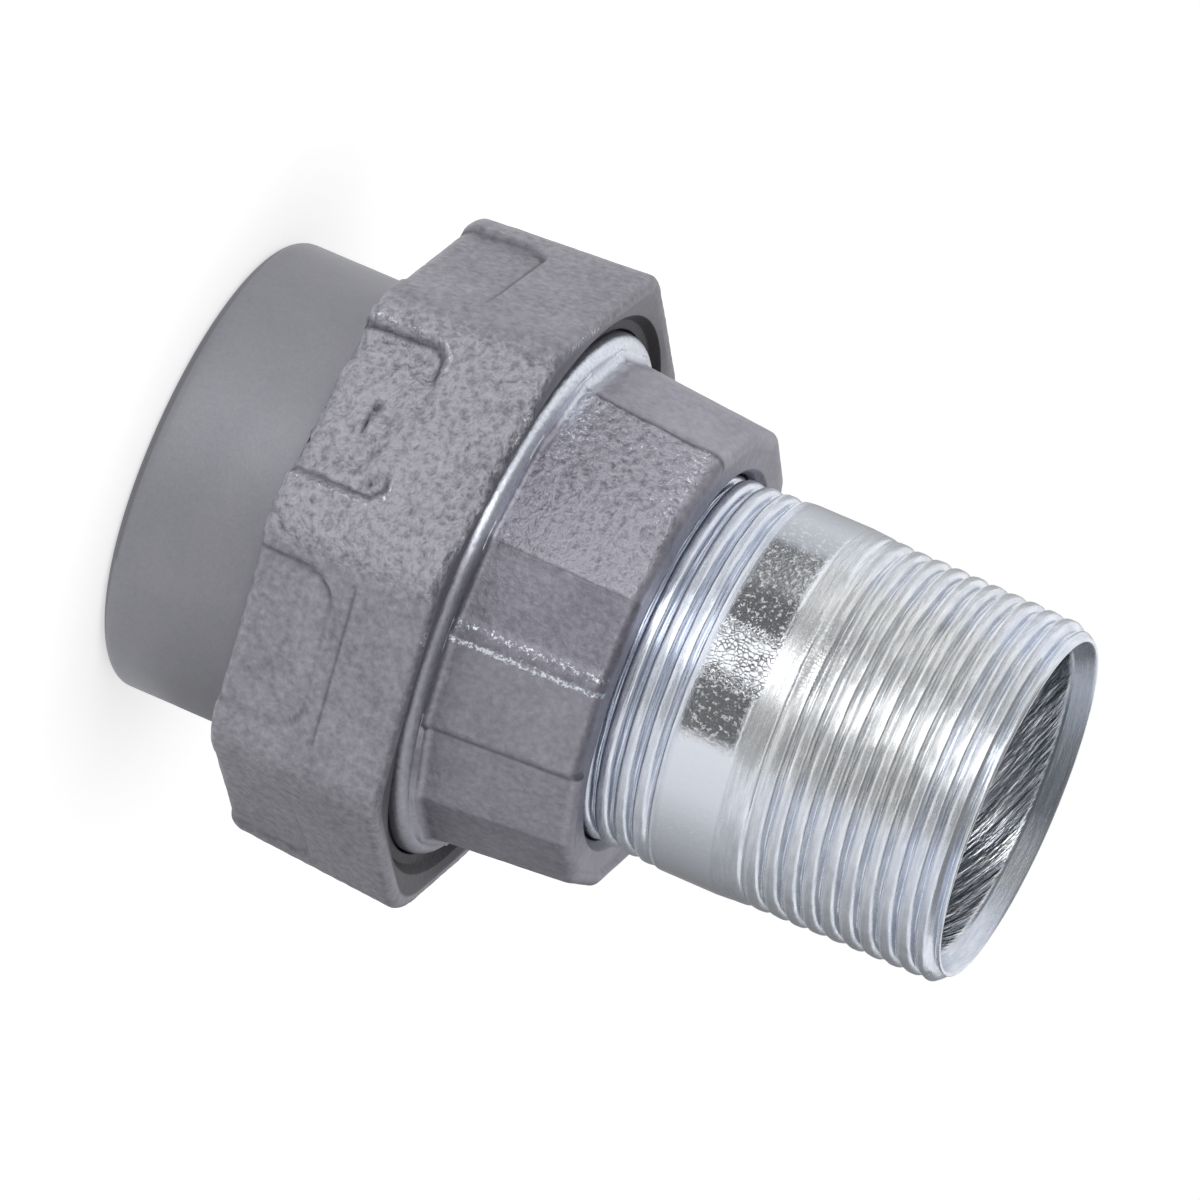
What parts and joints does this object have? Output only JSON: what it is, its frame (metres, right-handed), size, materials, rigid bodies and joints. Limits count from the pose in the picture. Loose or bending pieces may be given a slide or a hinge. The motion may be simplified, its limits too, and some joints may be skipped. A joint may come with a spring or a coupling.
{
  "type": "conduit union",
  "caption": "Metal conduit union: a threaded hub, a captive octagonal nut, a faceted body and a male pipe nipple, which come apart without turning either pipe.",
  "frame": {"origin": "centre of the hub's outer end face, which the part stands on", "axes": "+Z along the wireway, from the hub to the nipple's mouth; +Y and +X each square to a flat of the body"},
  "size_m": [0.069, 0.069, 0.0965],
  "materials": {
    "hub_iron": "malleable iron, blasted smooth and zinc plated, satin grey",
    "nut_iron": "malleable iron as cast, zinc plated, grainy grey",
    "body_iron": "malleable iron as cast, zinc plated, with bright worn corners",
    "nipple_steel": "threaded steel pipe, bright zinc plate with a mottled spangle"
  },
  "bodies": {
    "hub": {"hub": "hub_iron"},
    "nut": {"union_nut": "nut_iron"},
    "body": {"threaded_body": "body_iron", "nipple": "nipple_steel"}
  },
  "joints": [
    {"name": "nut_spin", "type": "hinge", "parent": "hub", "child": "nut", "pos_m": [0, 0, 0.0277], "axis": [0, 0, -1], "range_deg": [0, 1800]},
    {"name": "body_lift", "type": "slide", "parent": "hub", "child": "body", "axis": [0, 0, 1], "range_m": [0, 0.01]}
  ],
  "couplings": [
    {"joint": "body_lift", "follows": "nut_spin", "m_per_rad": 0.0003183}
  ]
}
